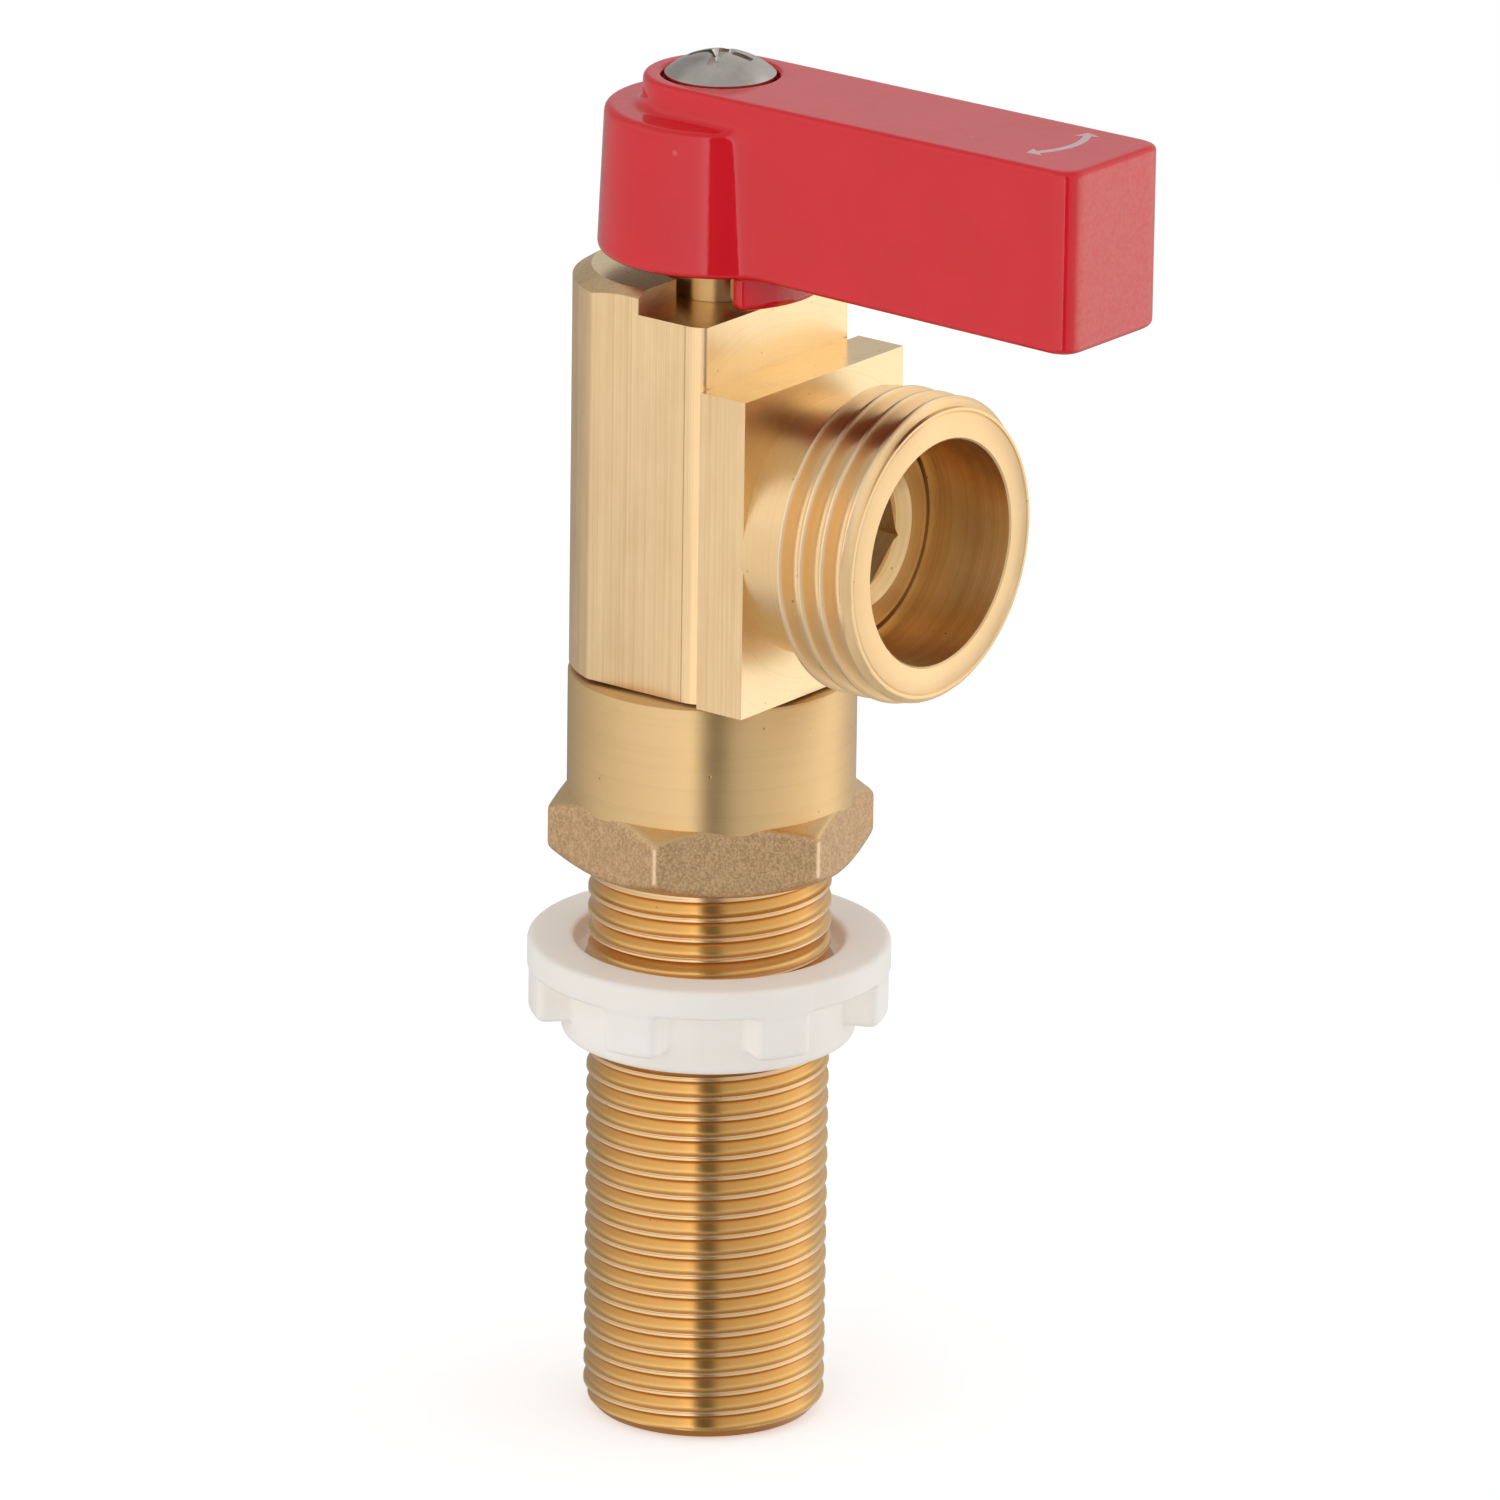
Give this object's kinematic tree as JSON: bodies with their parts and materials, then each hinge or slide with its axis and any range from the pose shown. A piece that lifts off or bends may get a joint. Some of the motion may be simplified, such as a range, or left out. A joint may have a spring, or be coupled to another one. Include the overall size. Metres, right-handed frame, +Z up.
{
  "type": "water shutoff valve",
  "caption": "Quarter-turn angle shutoff valve: threaded panel shank with locknut, ball body, hose-thread outlet at a right angle and a red lever on top.",
  "frame": {"origin": "centre of the shank's open lower end, on the stem and shank axis", "axes": "+Z up the shank towards the lever, -Y out of the hose outlet, +X to the side where the lever opens"},
  "size_m": [0.0316, 0.0576, 0.1223],
  "materials": {
    "extruded_brass": "satin extruded bar with draw lines, machined faces",
    "turned_brass": "turned, fine lathe lines",
    "white_nylon": "moulded ivory nylon",
    "plated_ball": "polished plate",
    "seat_plastic": "white fluoroplastic",
    "red_enamel": "glossy red enamel over die casting",
    "stainless": "bright stainless",
    "black_rubber": "matt rubber"
  },
  "bodies": {
    "housing": {"valve_body": "extruded_brass", "inlet_tailpiece": "turned_brass", "tailpiece_o_ring": "black_rubber", "outlet_seat": "seat_plastic", "rear_seat": "seat_plastic", "seat_retainer": "turned_brass"},
    "lever": {"handle": "red_enamel", "handle_screw": "stainless", "stem": "turned_brass", "stem_thrust_washer": "seat_plastic", "stem_o_ring_lower": "black_rubber", "stem_o_ring_upper": "black_rubber"},
    "ball": {"ball": "plated_ball"},
    "locknut": {"locknut": "white_nylon"}
  },
  "joints": [
    {"name": "lever_turn", "type": "hinge", "parent": "housing", "child": "lever", "pos_m": [0, 0, 0.1012], "axis": [0, 0, 1], "range_deg": [-45, 45]},
    {"name": "ball_turn", "type": "hinge", "parent": "housing", "child": "ball", "pos_m": [0, 0, 0.08192], "axis": [0, 0, 1], "range_deg": [-45, 45]},
    {"name": "locknut_travel", "type": "slide", "parent": "housing", "child": "locknut", "axis": [0, 0, 1], "range_m": [-0.034, 0.0068]}
  ],
  "couplings": [
    {"joint": "ball_turn", "follows": "lever_turn", "ratio": 1}
  ]
}
